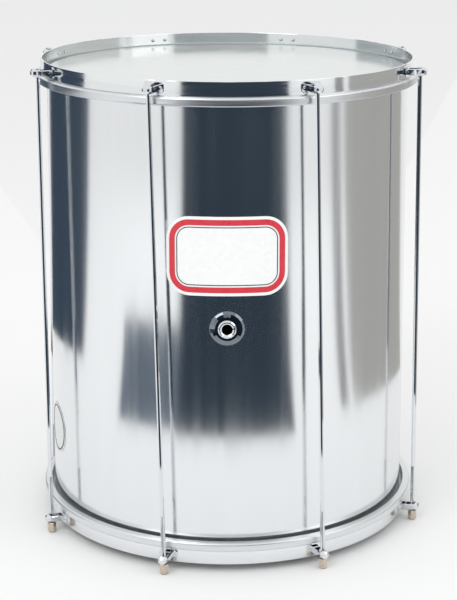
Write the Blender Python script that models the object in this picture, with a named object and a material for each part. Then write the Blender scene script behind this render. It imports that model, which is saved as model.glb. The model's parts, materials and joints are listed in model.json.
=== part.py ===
# Surdo: a two-headed bass drum, aluminium shell, eight full-length tension rods.
# Metres, +Z up, front towards -Y. The origin is on the drum's axis, in the plane it stands on.

import math

import bmesh
import bpy
from mathutils import Matrix, Vector

# Shell
shell_radius = 0.2505
shell_wall = 0.0012
shell_length = 0.608
hem_width = 0.0040
hem_length = 0.0075
bearing_corner = 0.0020

# Heads and flesh hoops
film = 0.0005
collar_room = 0.0050
flesh_hoop_width = 0.0095
flesh_hoop_height = 0.0118
channel_wall = 0.0012
channel_corner = 0.0026

# Counterhoops
rim_beyond_shell = 0.0075
rim_wall = 0.0020
rim_height = 0.0195
rim_above_head = 0.0165
rim_edge_corner = 0.0005

# Lugs
lug_count = 8
lug_azimuth = math.radians(-20.9)
hoop_twist = math.radians(3.25)
lug_below_rim_edge = 0.0095
plate_width = 0.0262
plate_height = 0.0150
plate_wall = 0.0016
plate_corner = 0.0030
ball_radius = 0.0063
ball_beyond_rod = 0.0038
trough_wall = 0.0017
trough_root_half_width = 0.0054
trough_root_rise = 0.0030
trough_root_drop = 0.0052
trough_floor_drop = 0.0034
trough_inner_end = 0.0012
seat_drop = 0.0058

# Rods and nuts
rod_beyond_rim = 0.0175
rod_radius = 0.0030
rod_hole_clearance = 0.0005
rod_head_clearance = 0.0005
rod_head_rise = 0.0066
rod_crown_height = 0.0016
rod_end_recess = 0.0010
rod_end_chamfer = 0.0008
nut_corner_radius = 0.0061
nut_length = 0.0132
nut_chamfer = 0.0011
nut_bore_clearance = 0.0003

# Rivets
rivet_offset = 0.0098
rivet_radius = 0.0015
rivet_head_radius = 0.0027
rivet_head_height = 0.0013

# Vent
vent_height_on_shell = 0.3045
vent_plate_radius = 0.0230
vent_plate_rise = 0.0046
vent_plate_edge = 0.0012
vent_bore_radius = 0.0072
vent_tube_wall = 0.0012
vent_flange_radius = 0.0120
vent_flange_rise = 0.0030
vent_tube_reach = 0.0062
vent_nut_radius = 0.0135
vent_nut_thickness = 0.0038

# Clearances
gap = 0.0003
tilt_gap = 0.0002

# Facets
ring_facets = 48
vent_facets = 24
rod_facets = 8
rivet_facets = 6
nut_bore_facets = 10

# Radii round the axis, from the shell outwards
flesh_hoop_radius = shell_radius + collar_room + flesh_hoop_width
rim_radius = shell_radius + rim_beyond_shell
rod_circle_radius = rim_radius + rod_beyond_rim

# Heights along the axis, from the floor up
mitre = math.sqrt(2.0) - 1.0
bottom_azimuth = lug_azimuth + hoop_twist
mid_azimuth = lug_azimuth + hoop_twist / 2
rim_to_shell_end = rim_above_head + film + gap
lug_to_shell_end = rim_to_shell_end - lug_below_rim_edge
rod_rise = shell_length + 2 * lug_to_shell_end
rod_sweep = 2 * rod_circle_radius * math.sin(hoop_twist / 2)
rod_length = math.hypot(rod_rise, rod_sweep)
rod_tilt = math.atan2(rod_sweep, rod_rise)
nut_top_drop = seat_drop + gap + tilt_gap
nut_foot_radius = nut_corner_radius - nut_chamfer
bottom_lug_z = (nut_top_drop + nut_length) * math.cos(rod_tilt) + nut_foot_radius * math.sin(rod_tilt)
shell_bottom_z = bottom_lug_z + lug_to_shell_end
shell_top_z = shell_bottom_z + shell_length
top_lug_z = shell_top_z + lug_to_shell_end
vent_z = shell_bottom_z + vent_height_on_shell
lug_face_radius = rim_radius * math.cos(math.pi / ring_facets)


for leftover in list(bpy.data.objects):
    bpy.data.objects.remove(leftover, do_unlink=True)


# Materials

def material(name, colour, roughness, metallic):
    made = bpy.data.materials.new(name)
    made.use_nodes = True
    shader = made.node_tree.nodes["Principled BSDF"]
    shader.inputs["Base Color"].default_value = (*colour, 1.0)
    shader.inputs["Roughness"].default_value = roughness
    shader.inputs["Metallic"].default_value = metallic
    made.diffuse_color = (*colour, 1.0)
    return made


polished_aluminium = material("polished_aluminium", (0.80, 0.82, 0.84), 0.16, 1.0)
satin_aluminium = material("satin_aluminium", (0.72, 0.74, 0.76), 0.38, 1.0)
chrome = material("chrome", (0.70, 0.72, 0.75), 0.08, 1.0)
warm_nickel = material("warm_nickel", (0.62, 0.54, 0.45), 0.32, 1.0)
milky_film = material("milky_film", (0.72, 0.76, 0.75), 0.22, 0.0)


# Mesh helpers

def spot(radius, azimuth, z):
    """A point at a radius and an azimuth from the front, turning towards +X."""
    return Vector((radius * math.sin(azimuth), -radius * math.cos(azimuth), z))


def finish(mesh_data, name, finish_material, crease=math.radians(32)):
    """Turn a bmesh into a smooth-shaded object with sharp edges."""
    bmesh.ops.recalc_face_normals(mesh_data, faces=mesh_data.faces)
    mesh = bpy.data.meshes.new(name)
    mesh_data.to_mesh(mesh)
    mesh_data.free()
    mesh.shade_smooth()
    mesh.set_sharp_from_angle(angle=crease)
    mesh.materials.append(finish_material)
    made = bpy.data.objects.new(name, mesh)
    bpy.context.scene.collection.objects.link(made)
    return made


def turned(section, facets, phase=0.0):
    """Revolve a closed (radius, z) section about +Z; points at radius 0 become poles."""
    work = bmesh.new()
    columns = []
    for radius, z in section:
        if radius == 0:
            pole = work.verts.new((0.0, 0.0, z))
            columns.append([pole] * facets)
            continue
        ring = []
        for step in range(facets):
            azimuth = phase + 2 * math.pi * step / facets
            ring.append(work.verts.new(spot(radius, azimuth, z)))
        columns.append(ring)
    for index, ring in enumerate(columns):
        following = columns[(index + 1) % len(columns)]
        if section[index][0] == 0 and section[(index + 1) % len(section)][0] == 0:
            continue
        for step in range(facets):
            corner = (step + 1) % facets
            loop = [ring[step], ring[corner], following[corner], following[step]]
            work.faces.new(list(dict.fromkeys(loop)))
    return work


def prism(outline, low, high):
    """Extrude an (x, y) outline from z low to z high."""
    work = bmesh.new()
    floor = [work.verts.new((x, y, low)) for x, y in outline]
    roof = [work.verts.new((x, y, high)) for x, y in outline]
    work.faces.new(floor)
    work.faces.new(roof)
    for index in range(len(outline)):
        corner = (index + 1) % len(outline)
        work.faces.new([floor[index], floor[corner], roof[corner], roof[index]])
    return work


def stack(rings):
    """Skin a list of equal rings of points and close both ends."""
    work = bmesh.new()
    skin = [[work.verts.new(point) for point in ring] for ring in rings]
    for lower, upper in zip(skin, skin[1:]):
        for index in range(len(lower)):
            corner = (index + 1) % len(lower)
            work.faces.new([lower[index], lower[corner], upper[corner], upper[index]])
    work.faces.new(skin[0])
    work.faces.new(skin[-1])
    return work


def circle(radius, facets, turn=0.0):
    """An (x, y) outline of a regular polygon."""
    points = []
    for step in range(facets):
        angle = turn + 2 * math.pi * step / facets
        points.append((radius * math.cos(angle), radius * math.sin(angle)))
    return points


def rounded_plate(width, height, corner):
    """An (x, y) outline of a plate with chamfered corners."""
    right = width / 2
    top = height / 2
    return [
        (right, corner - top), (right, top - corner), (right - corner, top), (corner - right, top),
        (-right, top - corner), (-right, corner - top), (corner - right, -top), (right - corner, -top),
    ]


def boolean(target, tool, operation):
    """Apply an exact boolean to a target's mesh and remove the tool."""
    modifier = target.modifiers.new("cut", "BOOLEAN")
    modifier.operation = operation
    modifier.object = tool
    modifier.solver = "EXACT"
    depsgraph = bpy.context.evaluated_depsgraph_get()
    result = bpy.data.meshes.new_from_object(target.evaluated_get(depsgraph))
    target.modifiers.clear()
    target.data = result
    bpy.data.objects.remove(tool, do_unlink=True)


def reshade(made, crease=math.radians(32)):
    """Set smooth shading again after booleans."""
    made.data.shade_smooth()
    made.data.set_sharp_from_angle(angle=crease)


def placed_copy(pattern, name, matrix):
    """A further object on the pattern's mesh."""
    copy = bpy.data.objects.new(name, pattern.data)
    copy.matrix_world = matrix
    bpy.context.scene.collection.objects.link(copy)
    return copy


def drop(pattern):
    """Remove a pattern object and keep its mesh."""
    bpy.data.objects.remove(pattern, do_unlink=True)


def level(end, offset):
    """Height of a point beyond the shell's top end (+1) or bottom end (-1)."""
    if end > 0:
        return shell_top_z + offset
    return shell_bottom_z - offset


def section_at(end, points):
    """Move (radius, offset) points to one end of the shell."""
    return [(radius, level(end, offset)) for radius, offset in points]


# Shell

def shell():
    """A rolled tube with hemmed, rounded bearing edges and a round vent hole."""
    inner = shell_radius - shell_wall
    hem = shell_radius - hem_width
    edge = [
        (shell_radius, -bearing_corner),
        (shell_radius - bearing_corner, 0.0),
        (hem + bearing_corner / 2, 0.0),
        (hem, -bearing_corner / 2),
        (hem, -hem_length),
        (inner, -hem_length - hem_width + shell_wall),
    ]
    section = section_at(1, edge) + section_at(-1, edge)[::-1]
    half_facet = math.pi / ring_facets
    made = finish(turned(section, ring_facets, half_facet), "shell", polished_aluminium)
    hole = vent_bore_radius + vent_tube_wall + gap
    cutter = finish(prism(circle(hole, vent_facets), 0.0, 2 * hem_width), "vent_cutter", chrome)
    cutter.matrix_world = vent_frame(-hem_width)
    bpy.context.view_layer.update()
    boolean(made, cutter, "DIFFERENCE")
    reshade(made)
    return made


# Heads

def head(end, name):
    """A stretched film: flat disc, rounded corner, collar, and an edge folded into the channel."""
    outer = film + gap
    corner_in = bearing_corner - mitre * gap
    corner_out = bearing_corner - mitre * outer
    fold_top = flesh_face_offset() - channel_wall - gap
    fold_end = flesh_hoop_radius - channel_wall - 2 * gap
    points = [
        (0, outer),
        (shell_radius - corner_out, outer),
        (shell_radius + outer, -corner_out),
        (shell_radius + outer, fold_top),
        (fold_end, fold_top),
        (fold_end, fold_top - film),
        (shell_radius + gap, fold_top - film),
        (shell_radius + gap, -corner_in),
        (shell_radius - corner_in, gap),
        (0, gap),
    ]
    work = turned(section_at(end, points), ring_facets, math.pi / ring_facets)
    return finish(work, name, milky_film)


def flesh_face_offset():
    """Offset of the flesh hoop's face that the counterhoop presses on."""
    return rim_to_shell_end - rim_height - gap


def flesh_hoop(end, name):
    """A channel with rounded outer corners, open towards the shell, that grips the film's fold."""
    inner = flesh_hoop_radius - flesh_hoop_width
    wall = flesh_hoop_radius - channel_wall
    near = flesh_face_offset()
    far = near - flesh_hoop_height
    points = [
        (inner, near),
        (flesh_hoop_radius - channel_corner, near),
        (flesh_hoop_radius, near - channel_corner),
        (flesh_hoop_radius, far + channel_corner),
        (flesh_hoop_radius - channel_corner, far),
        (inner, far),
        (inner, far + channel_wall),
        (wall - mitre * channel_wall, far + channel_wall),
        (wall, near - channel_wall),
        (inner, near - channel_wall),
    ]
    work = turned(section_at(end, points), ring_facets, math.pi / ring_facets)
    return finish(work, name, satin_aluminium)


# Counterhoops

def counterhoop(end, name, azimuth):
    """A flat band on edge, with a rivet hole each side of every lug."""
    inner = rim_radius - rim_wall
    points = [
        (inner, rim_to_shell_end - rim_edge_corner),
        (inner + rim_edge_corner, rim_to_shell_end),
        (rim_radius - rim_edge_corner, rim_to_shell_end),
        (rim_radius, rim_to_shell_end - rim_edge_corner),
        (rim_radius, rim_to_shell_end - rim_height),
        (inner, rim_to_shell_end - rim_height),
    ]
    phase = azimuth + math.pi / ring_facets
    made = finish(turned(section_at(end, points), ring_facets, phase), name, polished_aluminium)
    drills = bmesh.new()
    for turn in lug_turns(azimuth):
        for side in (-1, 1):
            outline = circle(rivet_radius + gap, rivet_facets)
            hole = prism(outline, -2 * rim_wall, rim_wall)
            hole.transform(rivet_frame(turn, lug_z(end), side))
            merge(drills, hole)
    cutter = finish(drills, name + "_drills", chrome)
    boolean(made, cutter, "DIFFERENCE")
    reshade(made)
    return made


def merge(target, source):
    """Copy one bmesh into another and free it."""
    mesh = bpy.data.meshes.new("part_of_node")
    source.to_mesh(mesh)
    source.free()
    target.from_mesh(mesh)
    bpy.data.meshes.remove(mesh)


# Places round the drum

def lug_turns(azimuth):
    """The lugs' azimuths round one hoop."""
    return [azimuth + 2 * math.pi * index / lug_count for index in range(lug_count)]


def lug_z(end):
    """Height of the lugs' centre line on one hoop."""
    return top_lug_z if end > 0 else bottom_lug_z


def radial_frame(azimuth, z, radius):
    """X along the hoop, Y outwards, Z up, at a point of the hoop."""
    return Matrix.Translation(spot(radius, azimuth, z)) @ Matrix.Rotation(azimuth + math.pi, 4, "Z")


def rivet_frame(azimuth, z, side):
    """Z outwards along a rivet, from the band's outer face."""
    frame = radial_frame(azimuth, z, lug_face_radius)
    return frame @ Matrix.Translation((side * rivet_offset, 0, 0)) @ Matrix.Rotation(-math.pi / 2, 4, "X")


def rod_frame(index):
    """Z up along a rod, X in the plane it leans in, at the bottom lug's centre line."""
    turn = 2 * math.pi * index / lug_count
    foot = spot(rod_circle_radius, bottom_azimuth + turn, bottom_lug_z)
    top = spot(rod_circle_radius, lug_azimuth + turn, top_lug_z)
    along = (top - foot).normalized()
    side = Vector((math.cos(mid_azimuth + turn), math.sin(mid_azimuth + turn), 0))
    side = (side - along * side.dot(along)).normalized()
    out = along.cross(side)
    axes = Matrix((side, out, along)).transposed().to_4x4()
    return Matrix.Translation(foot) @ axes


def vent_frame(depth):
    """Z outwards through the vent, a depth beyond the shell's outer face."""
    face = shell_radius * math.cos(math.pi / ring_facets) + depth
    return Matrix.Translation(spot(face, 0.0, vent_z)) @ Matrix.Rotation(math.pi / 2, 4, "X")


# Lugs

def trough_section(station, half_width, rise, fall, cut):
    """An eight-sided section across the trough at a distance from the band."""
    return [
        (half_width, station, rise - cut), (half_width - cut, station, rise),
        (cut - half_width, station, rise), (-half_width, station, rise - cut),
        (-half_width, station, cut - fall), (cut - half_width, station, -fall),
        (half_width - cut, station, -fall), (half_width, station, cut - fall),
    ]


def ball_section(station, centre):
    """The same section where the trough ends in a ball."""
    size = math.sqrt(ball_radius ** 2 - (station - centre) ** 2)
    return trough_section(station, size, size, min(size, seat_drop), size * (2 - math.sqrt(2.0)))


def lug_pattern():
    """A riveted plate that carries an open trough ending in a closed ball."""
    plate_front = gap + plate_wall
    rod = rod_circle_radius - lug_face_radius
    ball = rod + ball_beyond_rod
    root = trough_section(plate_front - plate_wall / 2, trough_root_half_width,
                          trough_root_rise, trough_root_drop, trough_wall / 2)
    waist = trough_section(rod - 0.55 * ball_radius, 0.92 * ball_radius,
                           1.25 * trough_root_rise, seat_drop, trough_wall)
    shoulder = trough_section(rod + 0.2 * ball_radius, 0.98 * ball_radius,
                              0.86 * ball_radius, seat_drop, 1.6 * trough_wall)
    rings = [root, waist, shoulder]
    for share in (0.0, 0.6, 0.9):
        rings.append(ball_section(ball + share * ball_radius, ball))
    trough = finish(stack(rings), "lug_pattern", chrome)

    outline = rounded_plate(plate_width, plate_height, plate_corner)
    plate_work = prism(outline, gap, plate_front)
    plate_work.transform(Matrix.Rotation(-math.pi / 2, 4, "X"))
    plate = finish(plate_work, "plate", chrome)
    boolean(trough, plate, "UNION")

    half = trough_root_half_width - trough_wall / 2
    broad = rod_radius + rod_head_clearance + 2 * trough_wall / 3
    inner = plate_front + trough_inner_end
    outer = rod + rod_radius + 2 * rod_head_clearance + trough_wall / 3
    pocket_outline = [
        (half - trough_wall / 2, inner), (half, inner + trough_wall), (broad, rod), (broad, outer - trough_wall),
        (broad - trough_wall, outer), (trough_wall - broad, outer), (-broad, outer - trough_wall), (-broad, rod),
        (-half, inner + trough_wall), (trough_wall / 2 - half, inner),
    ]
    pocket = finish(prism(pocket_outline, -trough_floor_drop, 2 * ball_radius), "pocket", chrome)
    boolean(trough, pocket, "DIFFERENCE")

    drill = prism(circle(rod_radius + rod_hole_clearance, rod_facets), -2 * ball_radius, 0.0)
    drill.transform(Matrix.Translation((0, rod, 0)))
    boolean(trough, finish(drill, "rod_drill", chrome), "DIFFERENCE")
    for side in (-1, 1):
        boolean(trough, rivet(side), "UNION")
    reshade(trough)
    return trough


def rivet(side):
    """A rivet set in the lug's plate, whose shank passes the band and is headed behind it."""
    grip_in = -rim_wall - gap
    front = gap + plate_wall
    points = [
        (0, front + rivet_head_height),
        (0.7 * rivet_head_radius, front + 0.75 * rivet_head_height),
        (rivet_head_radius, front - plate_wall / 4),
        (rivet_radius, front - plate_wall / 2),
        (rivet_radius, grip_in),
        (rivet_head_radius, grip_in),
        (0, grip_in - rivet_head_height),
    ]
    work = turned(points, rivet_facets)
    work.transform(Matrix.Translation((side * rivet_offset, 0, 0)) @ Matrix.Rotation(-math.pi / 2, 4, "X"))
    return finish(work, "rivet", chrome)


def lugs(pattern, end, azimuth, word):
    """Eight lugs on one hoop, facing outwards."""
    for index, turn in enumerate(lug_turns(azimuth)):
        placed_copy(pattern, f"{word}_lug_{index + 1}", radial_frame(turn, lug_z(end), lug_face_radius))


# Rods and nuts

def rod_pattern():
    """A plain rod with a chamfered end below and a round crowned head above."""
    foot = rod_end_recess - nut_top_drop - nut_length
    head_radius = rod_radius + 2 * trough_wall / 3
    head_seat = rod_length - trough_floor_drop + gap + tilt_gap / 2
    head_top = rod_length + rod_head_rise
    points = [
        (0, foot),
        (rod_radius - rod_end_chamfer, foot),
        (rod_radius, foot + rod_end_chamfer),
        (rod_radius, head_seat),
        (head_radius, head_seat),
        (head_radius, head_top - rod_crown_height),
        (head_radius - rod_crown_height, head_top),
        (0, head_top),
    ]
    return finish(turned(points, rod_facets), "rod_pattern", chrome)


def nut_pattern():
    """A long hexagon nut, chamfered below, with a bore that clears the rod."""
    top = -nut_top_drop
    foot = top - nut_length
    outline = [
        (nut_foot_radius, foot), (nut_corner_radius, foot + nut_chamfer),
        (nut_corner_radius, top - nut_chamfer / 2), (nut_corner_radius - nut_chamfer / 2, top),
    ]
    rings = []
    for radius, z in outline:
        rings.append([(x, y, z) for x, y in circle(radius, 6)])
    made = finish(stack(rings), "nut_pattern", warm_nickel)
    bore = (rod_radius + nut_bore_clearance) / math.cos(math.pi / nut_bore_facets)
    drill = finish(prism(circle(bore, nut_bore_facets), 2 * foot, 0.0), "nut_drill", chrome)
    boolean(made, drill, "DIFFERENCE")
    reshade(made, math.radians(20))
    return made


def rods_and_nuts():
    """Eight leaning rods, each with its nut under the bottom lug."""
    rod = rod_pattern()
    nut = nut_pattern()
    for index in range(lug_count):
        placed_copy(rod, f"tension_rod_{index + 1}", rod_frame(index))
        placed_copy(nut, f"tuning_nut_{index + 1}", rod_frame(index))
    drop(rod)
    drop(nut)


# Vent

def vent_plate():
    """A domed plate whose back is shaped to the round shell."""
    bore = vent_bore_radius + vent_tube_wall + gap
    ring = vent_flange_radius
    points = [
        (bore, vent_plate_rise),
        (ring, vent_plate_rise),
        (ring + 0.35 * (vent_plate_radius - ring), 0.88 * vent_plate_rise),
        (ring + 0.72 * (vent_plate_radius - ring), 0.60 * vent_plate_rise),
        (vent_plate_radius - vent_plate_edge / 2, vent_plate_edge),
        (vent_plate_radius, vent_plate_edge / 2),
        (vent_plate_radius, -vent_plate_rise),
        (bore, -vent_plate_rise),
    ]
    made = finish(turned(points, vent_facets), "vent_plate", chrome)
    made.matrix_world = vent_frame(0.0)
    reach = shell_radius + gap
    body = [(0, shell_bottom_z), (reach, shell_bottom_z), (reach, shell_top_z), (0, shell_top_z)]
    envelope = finish(turned(body, ring_facets, math.pi / ring_facets), "envelope", chrome)
    bpy.context.view_layer.update()
    boolean(made, envelope, "DIFFERENCE")
    reshade(made)
    return made


def vent_grommet():
    """A flanged tube through the plate and the shell, threaded behind for its ring nut."""
    tube = vent_bore_radius + vent_tube_wall
    seat = vent_plate_rise + gap
    points = [
        (vent_bore_radius, seat + 0.6 * vent_flange_rise),
        (tube + vent_tube_wall / 2, seat + vent_flange_rise),
        (vent_flange_radius - 0.6 * vent_flange_rise, seat + 0.9 * vent_flange_rise),
        (vent_flange_radius, seat + 0.3 * vent_flange_rise),
        (vent_flange_radius, seat),
        (tube, seat),
        (tube, -vent_tube_reach),
        (vent_bore_radius, -vent_tube_reach),
    ]
    made = finish(turned(points, vent_facets), "vent_grommet", chrome)
    made.matrix_world = vent_frame(0.0)
    return made


def vent_nut():
    """A hexagon ring nut on the grommet's tube, against the shell's inner face."""
    inner_wall = shell_radius - shell_wall
    sag = inner_wall - math.sqrt(inner_wall ** 2 - vent_nut_radius ** 2)
    seat = -shell_wall - sag - gap
    made = finish(prism(circle(vent_nut_radius, 6), seat - vent_nut_thickness, seat), "vent_nut", chrome)
    bore = (vent_bore_radius + vent_tube_wall + gap) / math.cos(math.pi / vent_facets)
    drill = finish(prism(circle(bore, vent_facets), -2 * hem_length, 0.0), "vent_nut_drill", chrome)
    boolean(made, drill, "DIFFERENCE")
    reshade(made, math.radians(20))
    made.matrix_world = vent_frame(0.0)
    return made


# Assembly

def build():
    """Make every node of the drum."""
    shell()
    vent_plate()
    vent_grommet()
    vent_nut()
    pattern = lug_pattern()
    for end, word, azimuth in ((1, "top", lug_azimuth), (-1, "bottom", bottom_azimuth)):
        head(end, f"{word}_head")
        flesh_hoop(end, f"{word}_flesh_hoop")
        counterhoop(end, f"{word}_counterhoop", azimuth)
        lugs(pattern, end, azimuth, word)
    drop(pattern)
    rods_and_nuts()


build()
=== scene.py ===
"""Looks of the surdo: fine turned surfaces, finishes, threads, badge plate, studio."""

import json
import math

import bmesh
import bpy
from mathutils import Matrix, Vector

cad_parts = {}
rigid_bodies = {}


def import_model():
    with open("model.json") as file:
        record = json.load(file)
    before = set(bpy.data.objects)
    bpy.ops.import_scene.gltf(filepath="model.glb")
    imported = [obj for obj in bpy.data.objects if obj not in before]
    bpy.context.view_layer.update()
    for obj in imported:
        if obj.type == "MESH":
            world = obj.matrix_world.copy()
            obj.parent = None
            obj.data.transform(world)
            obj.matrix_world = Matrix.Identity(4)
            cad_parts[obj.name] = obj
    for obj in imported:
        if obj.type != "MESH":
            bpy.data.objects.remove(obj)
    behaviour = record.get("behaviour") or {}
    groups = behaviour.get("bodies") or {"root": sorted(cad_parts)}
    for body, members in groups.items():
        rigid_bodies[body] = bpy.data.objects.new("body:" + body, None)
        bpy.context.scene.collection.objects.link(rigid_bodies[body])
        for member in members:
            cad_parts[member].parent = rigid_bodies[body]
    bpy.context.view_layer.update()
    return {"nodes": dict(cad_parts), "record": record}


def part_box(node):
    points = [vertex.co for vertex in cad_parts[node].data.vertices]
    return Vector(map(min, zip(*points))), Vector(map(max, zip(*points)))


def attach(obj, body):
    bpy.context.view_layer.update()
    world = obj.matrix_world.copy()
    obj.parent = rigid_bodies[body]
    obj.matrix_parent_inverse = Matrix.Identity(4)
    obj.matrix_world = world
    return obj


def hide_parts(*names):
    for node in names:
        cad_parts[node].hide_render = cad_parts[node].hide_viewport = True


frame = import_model()

# Real sizes of the drum, metres
SHELL_RADIUS = 0.2505
SHELL_WALL = 0.0012
HEM_WIDTH = 0.0040
HEM_LENGTH = 0.0075
BEARING_CORNER = 0.0020
FILM = 0.0005
GAP = 0.0003
FLESH_RADIUS = 0.2650
FLESH_WIDTH = 0.0095
CHANNEL_WALL = 0.0012
CHANNEL_CORNER = 0.0030
RIM_RADIUS = 0.2580
RIM_WALL = 0.0020
RIM_EDGE = 0.0006
VENT_HOLE_RADIUS = 0.0087
VENT_CUTTER_DEPTH = 0.02
ROD_COUNT = 8
ROD_RADIUS = 0.0030
THREAD_LENGTH = 0.078
THREAD_PITCH = 0.0010
THREAD_DEPTH = 0.00028
THREAD_LIFT = 0.00003
THREAD_SIDES = 12

# Badge and seal on the shell's face, metres, with the azimuth in degrees
BADGE_HEIGHT_ON_SHELL = 0.3995
BADGE_SIZE = (0.158, 0.104)
BADGE_CORNER = 0.030
FRAME_SIZE = (0.150, 0.096)
FRAME_CORNER = 0.026
FRAME_WIDTH = 0.0075
LINE_START = 0.0095
LINE_END = 0.0107
PLATE_LIFT = 0.0002
PLATE_THICKNESS = 0.0003
PRINT_LIFT = 0.00055
PRINT_THICKNESS = 0.0001
SEAL_AZIMUTH = -72
SEAL_HEIGHT_ON_SHELL = 0.108
SEAL_RADIUS = 0.036
SEAL_THICKNESS = 0.0002
RING_RADIUS = 0.0325
RING_INNER_SHARE = 0.93
RING_LIFT = 0.00045

# Fineness of the pieces, with creases in degrees
FINE_FACETS = 288
BEND_STEPS = 6
EDGE_STEPS = 3
HEAD_RING_SHARES = (0.25, 0.5, 0.75, 0.9)
VENT_SEGMENTS = 48
CREASE = 30.0
THREAD_CREASE = 20.0
NODE_CREASE = 28.0

# Studio, metres
FLOOR_SIZE = 14.0
FLOOR_DROP = 0.0005
CARD_REACH = 9.0
CARD_STEPS = 24
WALL_HEIGHT = 3.2
LAMP_TARGET = (0, 0, 0.3)

# Camera fitted to the rims of the drum: millimetres for the lens, metres for the place, radians for the tilt
SENSOR_HEIGHT = 36.0
LENS_LENGTH = 100.663
LENS_SHIFT = -0.20
CAMERA_SIDE = 0.0017
CAMERA_DISTANCE = 2.3193
CAMERA_HEIGHT = 0.9511
CAMERA_TILT = 0.2070

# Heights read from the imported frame
SHELL_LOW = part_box("shell")[0][2]
SHELL_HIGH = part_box("shell")[1][2]
VENT_Z = (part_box("vent_plate")[0][2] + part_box("vent_plate")[1][2]) / 2


# Materials

NOISE_DETAIL = 4.0
NOISE_LOW = 0.3
NOISE_HIGH = 0.7
METAL_BUMP = 0.25
ALONG_DRUM = (1.0, 1.0, 0.012)
ROUND_HOOP = (0.35, 0.35, 14.0)
EVEN = (1.0, 1.0, 1.0)


def new_material(name):
    """An empty node material with a Principled shader."""
    made = bpy.data.materials.new(name)
    made.use_nodes = True
    return made, made.node_tree.nodes, made.node_tree.links


def mapped(nodes, links, scale):
    """Object coordinates stretched along each axis."""
    source = nodes.new("ShaderNodeTexCoord")
    mapping = nodes.new("ShaderNodeMapping")
    mapping.inputs["Scale"].default_value = scale
    links.new(source.outputs["Object"], mapping.inputs["Vector"])
    return mapping.outputs["Vector"]


def noise(nodes, links, vector, scale):
    """A noise texture read at a mapped vector."""
    made = nodes.new("ShaderNodeTexNoise")
    made.inputs["Scale"].default_value = scale
    made.inputs["Detail"].default_value = NOISE_DETAIL
    links.new(vector, made.inputs["Vector"])
    return made.outputs["Fac"]


def spread(nodes, links, value, low, high):
    """Move a noise value into a range."""
    made = nodes.new("ShaderNodeMapRange")
    made.inputs["From Min"].default_value = NOISE_LOW
    made.inputs["From Max"].default_value = NOISE_HIGH
    made.inputs["To Min"].default_value = low
    made.inputs["To Max"].default_value = high
    links.new(value, made.inputs["Value"])
    return made.outputs["Result"]


def two_tone(nodes, links, value, first, second):
    """Blend two colours by a value."""
    made = nodes.new("ShaderNodeMix")
    made.data_type = "RGBA"
    made.inputs["A"].default_value = (*first, 1.0)
    made.inputs["B"].default_value = (*second, 1.0)
    links.new(value, made.inputs["Factor"])
    return made.outputs["Result"]


def bump(nodes, links, value, shader, strength, distance):
    """Fine relief on a shader."""
    made = nodes.new("ShaderNodeBump")
    made.inputs["Strength"].default_value = strength
    made.inputs["Distance"].default_value = distance
    links.new(value, made.inputs["Height"])
    links.new(made.outputs["Normal"], shader.inputs["Normal"])


def metal(name, dark, light, rough_low, rough_high, grain, grain_scale, relief=0.0):
    """A metal whose colour and roughness vary along its grain."""
    made, nodes, links = new_material(name)
    shader = nodes["Principled BSDF"]
    shader.inputs["Metallic"].default_value = 1.0
    value = noise(nodes, links, mapped(nodes, links, grain), grain_scale)
    links.new(two_tone(nodes, links, value, dark, light), shader.inputs["Base Color"])
    links.new(spread(nodes, links, value, rough_low, rough_high), shader.inputs["Roughness"])
    if relief:
        bump(nodes, links, value, shader, METAL_BUMP, relief)
    return made


shell_metal = metal("rolled_aluminium", (0.78, 0.80, 0.82), (0.86, 0.88, 0.89), 0.10, 0.19, ALONG_DRUM, 55.0)
rim_metal = metal("rim_aluminium", (0.80, 0.82, 0.84), (0.88, 0.90, 0.91), 0.07, 0.15, ROUND_HOOP, 22.0)
satin_metal = metal("satin_aluminium", (0.70, 0.72, 0.74), (0.80, 0.82, 0.83), 0.26, 0.40, ROUND_HOOP, 40.0,
                    0.0002)
chrome_metal = metal("bright_chrome", (0.70, 0.72, 0.75), (0.80, 0.82, 0.84), 0.04, 0.10, EVEN, 90.0)
# Vent plate chrome: its dark base colour is a painted dark reflection of the surroundings, not the metal's
# own tone
dark_chrome = metal("dark_chrome", (0.16, 0.19, 0.22), (0.24, 0.27, 0.30), 0.05, 0.12, EVEN, 90.0)
nut_metal = metal("warm_nickel", (0.55, 0.47, 0.38), (0.70, 0.62, 0.52), 0.22, 0.38, EVEN, 240.0, 0.0001)
foil_metal = metal("silver_foil", (0.72, 0.74, 0.75), (0.84, 0.86, 0.86), 0.18, 0.34, EVEN, 260.0)


def film_material():
    """Milky film, faintly mottled, with a smooth gloss."""
    made, nodes, links = new_material("milky_film")
    shader = nodes["Principled BSDF"]
    value = noise(nodes, links, mapped(nodes, links, EVEN), 16.0)
    colour = two_tone(nodes, links, value, (0.60, 0.645, 0.63), (0.65, 0.69, 0.675))
    links.new(colour, shader.inputs["Base Color"])
    links.new(spread(nodes, links, value, 0.10, 0.20), shader.inputs["Roughness"])
    fine = noise(nodes, links, mapped(nodes, links, EVEN), 420.0)
    bump(nodes, links, fine, shader, 0.08, 0.0002)
    return made


def ink(name, first, second, roughness):
    """Printed vinyl of one colour with slight mottling."""
    made, nodes, links = new_material(name)
    shader = nodes["Principled BSDF"]
    value = noise(nodes, links, mapped(nodes, links, EVEN), 130.0)
    links.new(two_tone(nodes, links, value, first, second), shader.inputs["Base Color"])
    links.new(spread(nodes, links, value, roughness, roughness + 0.12), shader.inputs["Roughness"])
    return made


film_skin = film_material()
white_ink = ink("white_vinyl", (0.86, 0.87, 0.87), (0.92, 0.93, 0.93), 0.22)
red_ink = ink("red_vinyl", (0.62, 0.03, 0.05), (0.72, 0.05, 0.07), 0.25)
dark_ink = ink("dark_vinyl", (0.02, 0.02, 0.025), (0.04, 0.04, 0.045), 0.25)


# Mesh helpers

def spot(radius, azimuth, z):
    """A point at an azimuth from the front."""
    return Vector((radius * math.sin(azimuth), -radius * math.cos(azimuth), z))


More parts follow.
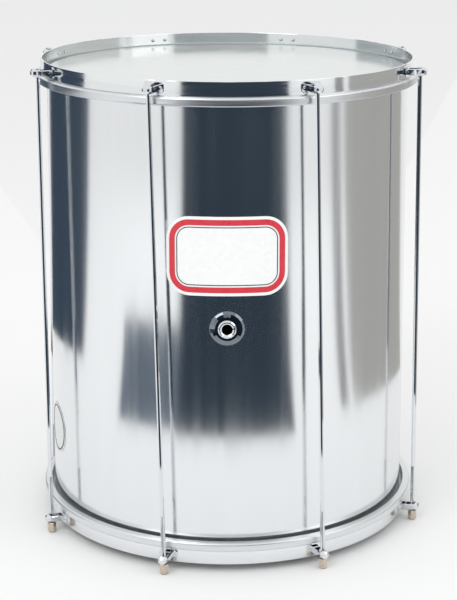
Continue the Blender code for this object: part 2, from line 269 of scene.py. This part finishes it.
def solid(work, name, material, crease=CREASE):
    """Turn a bmesh into a smooth-shaded object."""
    bmesh.ops.recalc_face_normals(work, faces=work.faces)
    mesh = bpy.data.meshes.new(name)
    work.to_mesh(mesh)
    work.free()
    mesh.shade_smooth()
    mesh.set_sharp_from_angle(angle=math.radians(crease))
    mesh.materials.append(material)
    made = bpy.data.objects.new(name, mesh)
    bpy.context.scene.collection.objects.link(made)
    return made


def turned(section):
    """Revolve a closed (radius, z) section; points at radius 0 are poles."""
    facets = FINE_FACETS
    azimuths = [2 * math.pi * step / facets for step in range(facets)]
    work = bmesh.new()
    columns = []
    for radius, z in section:
        if radius == 0:
            columns.append([work.verts.new((0, 0, z))] * facets)
            continue
        columns.append([work.verts.new(spot(radius, azimuth, z)) for azimuth in azimuths])
    for index, ring in enumerate(columns):
        beyond = (index + 1) % len(columns)
        following = columns[beyond]
        if section[index][0] == 0 and section[beyond][0] == 0:
            continue
        for step in range(facets):
            corner = (step + 1) % facets
            loop = [ring[step], ring[corner], following[corner], following[step]]
            work.faces.new(list(dict.fromkeys(loop)))
    return work


def arc(centre, radius, start, end, steps):
    """Points on a rounded corner of a section, angles in degrees."""
    points = []
    for step in range(steps + 1):
        angle = math.radians(start + (end - start) * step / steps)
        points.append((centre[0] + radius * math.cos(angle), centre[1] + radius * math.sin(angle)))
    return points


def cut(target, tool):
    """Take a tool out of a piece."""
    modifier = target.modifiers.new("cut", "BOOLEAN")
    modifier.object = tool
    modifier.operation = "DIFFERENCE"
    modifier.solver = "EXACT"
    depsgraph = bpy.context.evaluated_depsgraph_get()
    mesh = bpy.data.meshes.new_from_object(target.evaluated_get(depsgraph))
    target.modifiers.clear()
    target.data = mesh
    bpy.data.objects.remove(tool, do_unlink=True)


def fixed(piece, slot_name, *nodes):
    """Ride a piece on the drum and let it take the place of nodes."""
    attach(piece, "drum")
    if nodes:
        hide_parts(*nodes)


# Shell

def shell_skin():
    """The rolled tube with hemmed bearing edges and its vent hole."""
    corner = BEARING_CORNER
    inner = SHELL_RADIUS - SHELL_WALL
    hem = SHELL_RADIUS - HEM_WIDTH
    top = SHELL_HIGH
    upper = arc((SHELL_RADIUS - corner, top - corner), corner, 0, 90, BEND_STEPS)
    upper += [(hem + corner / 2, top), (hem, top - corner / 2), (hem, top - HEM_LENGTH)]
    upper += [(inner, top - HEM_LENGTH - HEM_WIDTH + SHELL_WALL)]
    lower = [(radius, SHELL_LOW + SHELL_HIGH - z) for radius, z in upper][::-1]
    made = solid(turned(upper + lower), "shell_skin", shell_metal)
    work = bmesh.new()
    bmesh.ops.create_cone(work, cap_ends=True, segments=VENT_SEGMENTS, radius1=VENT_HOLE_RADIUS,
                          radius2=VENT_HOLE_RADIUS, depth=VENT_CUTTER_DEPTH)
    face = Matrix.Translation((0, -SHELL_RADIUS, VENT_Z)) @ Matrix.Rotation(math.pi / 2, 4, "X")
    work.transform(face)
    cut(made, solid(work, "vent_tool", shell_metal))
    made.data.shade_smooth()
    made.data.set_sharp_from_angle(angle=math.radians(CREASE))
    fixed(made, "polished_aluminium", "shell")


# Heads and hoops

def end_height(end, offset):
    """Height beyond the shell's top (+1) or bottom (-1) end."""
    return SHELL_HIGH + offset if end > 0 else SHELL_LOW - offset


def at_end(end, points):
    """Move (radius, offset) points to one end of the drum."""
    return [(radius, end_height(end, offset)) for radius, offset in points]


def node_offsets(end, node):
    """A node's outer and inner height as offsets from the shell's end."""
    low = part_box(node)[0][2]
    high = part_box(node)[1][2]
    if end > 0:
        return high - SHELL_HIGH, low - SHELL_HIGH
    return SHELL_LOW - low, SHELL_LOW - high


def head_skin(end, word):
    """The stretched film, its rounded shoulder, collar and folded edge."""
    outer = FILM + GAP
    near = node_offsets(end, f"{word}_flesh_hoop")[0]
    fold = near - CHANNEL_WALL - GAP
    edge = FLESH_RADIUS - CHANNEL_WALL - 2 * GAP
    shoulder = BEARING_CORNER + outer
    centre = (SHELL_RADIUS - BEARING_CORNER, -BEARING_CORNER)
    points = [(0, outer)]
    points += [(SHELL_RADIUS * share, outer) for share in HEAD_RING_SHARES]
    points += arc(centre, shoulder, 90, 0, BEND_STEPS)
    points += [(SHELL_RADIUS + outer, fold), (edge, fold)]
    points += [(edge, fold - FILM), (SHELL_RADIUS + GAP, fold - FILM)]
    points += arc(centre, BEARING_CORNER + GAP, 0, 90, BEND_STEPS)
    points += [(0, GAP)]
    made = solid(turned(at_end(end, points)), f"{word}_film", film_skin)
    fixed(made, "milky_film", f"{word}_head")


def flesh_skin(end, word):
    """The rounded satin channel that grips the film."""
    near, far = node_offsets(end, f"{word}_flesh_hoop")
    inner = FLESH_RADIUS - FLESH_WIDTH
    wall = FLESH_RADIUS - CHANNEL_WALL
    bend = CHANNEL_CORNER
    points = [(inner, near), (inner + bend, near)]
    points += arc((FLESH_RADIUS - bend, near - bend), bend, 90, 0, BEND_STEPS)
    points += arc((FLESH_RADIUS - bend, far + bend), bend, 0, -90, BEND_STEPS)
    points += [(inner, far), (inner, far + CHANNEL_WALL), (wall - CHANNEL_WALL, far + CHANNEL_WALL)]
    points += [(wall, far + 2 * CHANNEL_WALL), (wall, near - CHANNEL_WALL - GAP / 2)]
    points += [(inner, near - CHANNEL_WALL)]
    made = solid(turned(at_end(end, points)), f"{word}_channel", satin_metal)
    fixed(made, "satin_aluminium", f"{word}_flesh_hoop")


def rim_skin(end, word):
    """The bright band on edge, with softened edges."""
    free, seat = node_offsets(end, f"{word}_counterhoop")
    inner = RIM_RADIUS - RIM_WALL
    points = [(inner, seat), (inner, free - RIM_EDGE)]
    points += arc((inner + RIM_EDGE, free - RIM_EDGE), RIM_EDGE, 180, 90, EDGE_STEPS)
    points += arc((RIM_RADIUS - RIM_EDGE, free - RIM_EDGE), RIM_EDGE, 90, 0, EDGE_STEPS)
    points += [(RIM_RADIUS, seat)]
    made = solid(turned(at_end(end, points)), f"{word}_rim", rim_metal)
    fixed(made, "polished_aluminium", f"{word}_counterhoop")


# Threads

def rod_line(index):
    """Foot point and direction of a rod, from its joint in the record."""
    for joint in frame["record"]["behaviour"]["joints"]:
        if joint["name"] == f"nut_{index}_turn":
            return Vector(joint["pos_m"]), Vector(joint["axis"]).normalized()
    raise ValueError(index)


def thread_sleeve(index):
    """A cut thread, one helical ridge, over the rod's lower end."""
    foot, along = rod_line(index)
    side = along.orthogonal().normalized()
    out = along.cross(side)
    low = (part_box(f"tension_rod_{index}")[0][2] - foot.z) / along.z + THREAD_DEPTH * 4
    sides = THREAD_SIDES
    turns = int(THREAD_LENGTH / THREAD_PITCH)
    crest = ROD_RADIUS + THREAD_DEPTH / 2
    root = ROD_RADIUS + THREAD_LIFT
    work = bmesh.new()
    rows = []
    for step in range(2 * turns * sides + 1):
        ridge = step % 2
        angle = 2 * math.pi * (step // 2) / sides
        rise = low + THREAD_PITCH * (step // 2) / sides + ridge * THREAD_PITCH / 2
        radius = crest if ridge else root
        point = foot + along * rise + (side * math.cos(angle) + out * math.sin(angle)) * radius
        rows.append(work.verts.new(point))
    last = len(rows) - 1
    for step in range(0, last - 2 * sides - 2, 2):
        work.faces.new([rows[step], rows[step + 2], rows[step + 3], rows[step + 1]])
        beyond = step + 2 * sides
        if beyond + 2 <= last:
            work.faces.new([rows[step + 1], rows[step + 3], rows[beyond + 2], rows[beyond]])
    made = solid(work, f"rod_thread_{index}", chrome_metal, THREAD_CREASE)
    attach(made, f"rod_{index}")


# Stickers

def on_shell(x, z, lift):
    """A point on the shell's face from its arc length and height."""
    return spot(SHELL_RADIUS + lift, x / SHELL_RADIUS, z)


def rounded_outline(width, height, corner, steps=8):
    """A rounded rectangle's outline from its arcs."""
    points = []
    corners = ((1, 1, 0), (-1, 1, 90), (-1, -1, 180), (1, -1, 270))
    for across, up, start in corners:
        centre = (across * (width / 2 - corner), up * (height / 2 - corner))
        points += arc(centre, corner, start, start + 90, steps)
    return filled_in(points)


def filled_in(outline, longest=0.004):
    """Further points on an outline's long straight runs, so that they follow the round shell."""
    points = []
    for index, (x, z) in enumerate(outline):
        next_x, next_z = outline[(index + 1) % len(outline)]
        pieces = max(1, math.ceil(math.hypot(next_x - x, next_z - z) / longest))
        for piece in range(pieces):
            share = piece / pieces
            points.append((x + (next_x - x) * share, z + (next_z - z) * share))
    return points


def round_outline(radius, steps=72):
    """A circle's outline."""
    return arc((0, 0), radius, 0, 360 - 360 / steps, steps - 1)


def sticker(name, outer, inner, centre, lift, thickness, material):
    """A thin plate bent to the shell: a band inside one further outline, or full inside several."""
    work = bmesh.new()
    layers = []
    for height in (lift, lift + thickness):
        edge = [work.verts.new(on_shell(centre[0] + x, centre[1] + z, height)) for x, z in outer]
        layers.append([edge])
        for outline in inner:
            ring = [work.verts.new(on_shell(centre[0] + x, centre[1] + z, height)) for x, z in outline]
            layers[-1].append(ring)
    count = len(outer)
    full = len(inner) > 1
    for rings in layers:
        if full:
            work.faces.new(rings[-1])
        for first, second in zip(rings, rings[1:]):
            for step in range(count):
                corner = (step + 1) % count
                work.faces.new([first[step], first[corner], second[corner], second[step]])
    for row in (0,) if full else (0, -1):
        for step in range(count):
            corner = (step + 1) % count
            low = layers[0][row]
            high = layers[1][row]
            work.faces.new([low[step], low[corner], high[corner], high[step]])
    fixed(solid(work, name, material), "milky_film")


def shrunk(outline, share):
    """An outline scaled about its centre."""
    return [(x * share, z * share) for x, z in outline]


def inset(outline, depth):
    """An outline moved inwards by a depth along each point's normal."""
    points = []
    count = len(outline)
    for index, (x, z) in enumerate(outline):
        before_x, before_z = outline[index - 1]
        after_x, after_z = outline[(index + 1) % count]
        run = math.hypot(after_x - before_x, after_z - before_z)
        normal_x = (after_z - before_z) / run
        normal_z = (before_x - after_x) / run
        points.append((x - normal_x * depth, z - normal_z * depth))
    return points


def disc_rings(outline, inner_share=0.02, steps=9):
    """Outlines that fill a shape towards its centre."""
    shares = [1 - (1 - inner_share) * (step + 1) / steps for step in range(steps)]
    return [shrunk(outline, share) for share in shares]


def badge():
    """A plain white plate with a red border and a dark line, where the drum carries its label."""
    centre = (0.0, SHELL_LOW + BADGE_HEIGHT_ON_SHELL)
    field = rounded_outline(*BADGE_SIZE, BADGE_CORNER)
    sticker("badge_field", field, disc_rings(field), centre, PLATE_LIFT, PLATE_THICKNESS, white_ink)
    border = rounded_outline(*FRAME_SIZE, FRAME_CORNER)
    border_inner = [inset(border, FRAME_WIDTH)]
    sticker("badge_frame", border, border_inner, centre, PRINT_LIFT, PRINT_THICKNESS, red_ink)
    line = inset(border, LINE_START)
    line_inner = [inset(border, LINE_END)]
    sticker("badge_inner_line", line, line_inner, centre, PRINT_LIFT, PRINT_THICKNESS, dark_ink)


def seal():
    """A round foil disc with a dark ring, low on the drum's left."""
    centre = (math.radians(SEAL_AZIMUTH) * SHELL_RADIUS, SHELL_LOW + SEAL_HEIGHT_ON_SHELL)
    face = round_outline(SEAL_RADIUS)
    sticker("foil_seal", face, disc_rings(face), centre, PLATE_LIFT, SEAL_THICKNESS, foil_metal)
    ring = round_outline(RING_RADIUS)
    ring_inner = [shrunk(ring, RING_INNER_SHARE)]
    sticker("foil_seal_ring", ring, ring_inner, centre, RING_LIFT, SEAL_THICKNESS, dark_ink)


# Finishes of the carried-over nodes

def dress_nodes():
    """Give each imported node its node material."""
    finishes = {"tuning_nut": nut_metal, "tension_rod": chrome_metal, "lug": chrome_metal,
                # The vent plate takes the chrome whose dark base colour is a painted dark reflection
                "vent_plate": dark_chrome, "vent_grommet": chrome_metal, "vent_nut": chrome_metal}
    for made in bpy.data.objects:
        for word, finish in finishes.items():
            if made.type == "MESH" and word in made.name and made.name in frame["nodes"]:
                made.data.materials.clear()
                made.data.materials.append(finish)
                made.data.shade_smooth()
                made.data.set_sharp_from_angle(angle=math.radians(NODE_CREASE))


# Studio

def plain_emitter(name, colour):
    """An even glow, for cards that only reflections see."""
    made, nodes, links = new_material(name)
    nodes.clear()
    glow = nodes.new("ShaderNodeEmission")
    glow.inputs["Color"].default_value = (*colour, 1.0)
    glow.inputs["Strength"].default_value = 1.0
    output = nodes.new("ShaderNodeOutputMaterial")
    links.new(glow.outputs["Emission"], output.inputs["Surface"])
    return made


def reflection_card(name, near, far, start, end, height, colour):
    """A sector round the drum, flat or risen to a height, that only glossy rays see."""
    work = bmesh.new()
    steps = CARD_STEPS
    rings = []
    for radius, z in ((near, 0.0), (far, height)):
        ring = []
        for step in range(steps + 1):
            azimuth = math.radians(start + (end - start) * step / steps)
            ring.append(work.verts.new(spot(radius, azimuth, z)))
        rings.append(ring)
    for step in range(steps):
        work.faces.new([rings[0][step], rings[0][step + 1], rings[1][step + 1], rings[1][step]])
    mesh = bpy.data.meshes.new(name)
    work.to_mesh(mesh)
    work.free()
    mesh.materials.append(plain_emitter(name + "_glow", colour))
    made = bpy.data.objects.new(name, mesh)
    bpy.context.scene.collection.objects.link(made)
    made.visible_camera = False
    made.visible_diffuse = False
    made.visible_shadow = False
    made.visible_transmission = False


def studio():
    """Pale floor, bright surround, soft lamps and dark cards for the mirror finish."""
    work = bmesh.new()
    bmesh.ops.create_grid(work, x_segments=1, y_segments=1, size=FLOOR_SIZE)
    floor_material, nodes, _ = new_material("pale_floor")
    nodes["Principled BSDF"].inputs["Base Color"].default_value = (0.93, 0.93, 0.93, 1.0)
    nodes["Principled BSDF"].inputs["Roughness"].default_value = 0.9
    floor = solid(work, "floor", floor_material)
    floor.location.z = -FLOOR_DROP

    cards = (
        ("card_front", 0.66, CARD_REACH, -27, 36, True, (0.030, 0.045, 0.064)),
        ("card_front_near", 0.68, 1.35, -62, -27, False, (0.13, 0.16, 0.20)),
        ("card_left", 0.95, CARD_REACH, -150, -94, True, (0.045, 0.065, 0.095)),
        ("card_right", 0.72, CARD_REACH, 76, 140, True, (0.42, 0.41, 0.39)),
        ("card_right_line", 0.72, CARD_REACH, 66, 72, True, (0.30, 0.30, 0.30)),
        ("card_back", 0.95, CARD_REACH, 168, 196, False, (0.06, 0.08, 0.10)),
    )
    for name, near, far, start, end, has_wall, colour in cards:
        reflection_card(name, near, far, start, end, 0.0, colour)
        if has_wall:
            reflection_card(name + "_wall", far, far, start, end, WALL_HEIGHT, colour)

    world = bpy.data.worlds.new("surround")
    bpy.context.scene.world = world
    world.use_nodes = True
    background = world.node_tree.nodes["Background"]
    background.inputs["Color"].default_value = (1.0, 1.0, 1.0, 1.0)
    background.inputs["Strength"].default_value = 0.95

    lamps = (("key", (-1.6, -2.2, 2.6), 22.0, 1.6), ("fill", (2.2, -1.4, 1.8), 9.0, 1.8))
    for name, place, power, size in lamps:
        lamp = bpy.data.lights.new(name, "AREA")
        lamp.energy = power
        lamp.size = size
        made = bpy.data.objects.new(name, lamp)
        made.location = place
        aim = Vector(LAMP_TARGET) - Vector(place)
        made.rotation_euler = aim.to_track_quat("-Z", "Y").to_euler()
        bpy.context.scene.collection.objects.link(made)


def camera():
    """The photograph's view: raised and tilted down, with a lens shift that sets the drum in the frame."""
    lens = bpy.data.cameras.new("camera")
    made = bpy.data.objects.new("camera", lens)
    bpy.context.scene.collection.objects.link(made)
    lens.sensor_fit = "VERTICAL"
    lens.sensor_height = SENSOR_HEIGHT
    lens.lens = LENS_LENGTH
    lens.shift_y = LENS_SHIFT
    rim_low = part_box("bottom_counterhoop")[0][2]
    made.location = (CAMERA_SIDE, -CAMERA_DISTANCE, rim_low + CAMERA_HEIGHT)
    made.rotation_euler = (math.pi / 2 - CAMERA_TILT, 0.0, 0.0)
    bpy.context.scene.camera = made
    bpy.context.scene.view_settings.view_transform = "Standard"


# Assembly

camera()
shell_skin()
for side, side_name in ((1, "top"), (-1, "bottom")):
    head_skin(side, side_name)
    flesh_skin(side, side_name)
    rim_skin(side, side_name)
for rod_number in range(1, ROD_COUNT + 1):
    thread_sleeve(rod_number)
badge()
seal()
dress_nodes()
studio()
